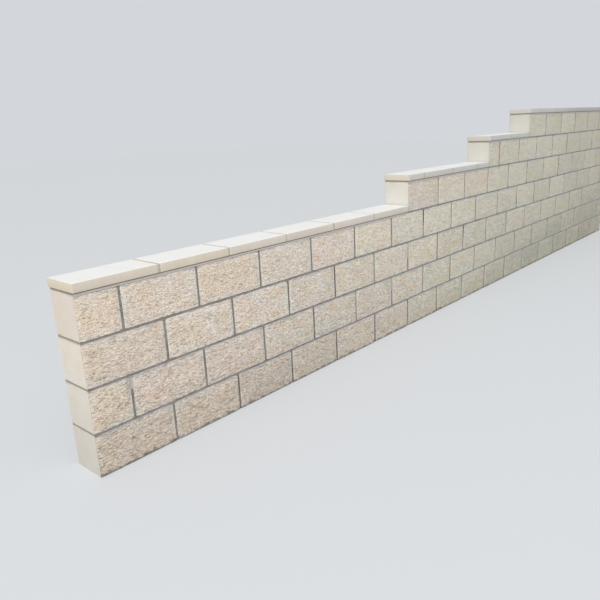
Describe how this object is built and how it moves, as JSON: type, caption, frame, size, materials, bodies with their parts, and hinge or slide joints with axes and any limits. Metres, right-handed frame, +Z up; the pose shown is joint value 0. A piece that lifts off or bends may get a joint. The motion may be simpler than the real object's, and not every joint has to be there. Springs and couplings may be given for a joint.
{
  "type": "stepped block retaining wall",
  "caption": "Retaining wall of split-face masonry blocks in running bond, stepped up along its length, with smooth cap tiles.",
  "frame": {"origin": "middle of the wall's footprint, on the underside of the lowest course", "axes": "+X along the wall from its low end to its high end, +Y from the split face into the bank, +Z up"},
  "size_m": [6.8, 0.2, 1.44],
  "materials": {
    "split_block": "split face, smooth ends and back",
    "mortar": "raked",
    "cap_tile": "smooth",
    "cap_pointing": "flush"
  },
  "bodies": {
    "root": {"course_1_bed_joint": "mortar", "course_1_blocks": "split_block", "course_1_far_end_block": "split_block", "course_1_near_end_block": "split_block", "course_1_upright_joints": "mortar", "course_2_bed_joint": "mortar", "course_2_blocks": "split_block", "course_2_far_end_block": "split_block", "course_2_near_end_block": "split_block", "course_2_upright_joints": "mortar", "course_3_bed_joint": "mortar", "course_3_blocks": "split_block", "course_3_far_end_block": "split_block", "course_3_near_end_block": "split_block", "course_3_upright_joints": "mortar", "course_4_bed_joint": "mortar", "course_4_blocks": "split_block", "course_4_far_end_block": "split_block", "course_4_near_end_block": "split_block", "course_4_upright_joints": "mortar", "course_5_bed_joint": "mortar", "course_5_blocks": "split_block", "course_5_far_end_block": "split_block", "course_5_near_end_block": "split_block", "course_5_upright_joints": "mortar", "course_6_bed_joint": "mortar", "course_6_blocks": "split_block", "course_6_far_end_block": "split_block", "course_6_near_end_block": "split_block", "course_6_upright_joints": "mortar", "course_7_bed_joint": "mortar", "course_7_blocks": "split_block", "course_7_far_end_block": "split_block", "course_7_near_end_block": "split_block", "course_7_upright_joints": "mortar", "level_1_cap_joints": "cap_pointing", "level_1_cap_tiles": "cap_tile", "level_2_cap_joints": "cap_pointing", "level_2_cap_tiles": "cap_tile", "level_3_cap_joints": "cap_pointing", "level_3_cap_tiles": "cap_tile", "level_4_cap_joints": "cap_pointing", "level_4_cap_tiles": "cap_tile"}
  },
  "joints": []
}
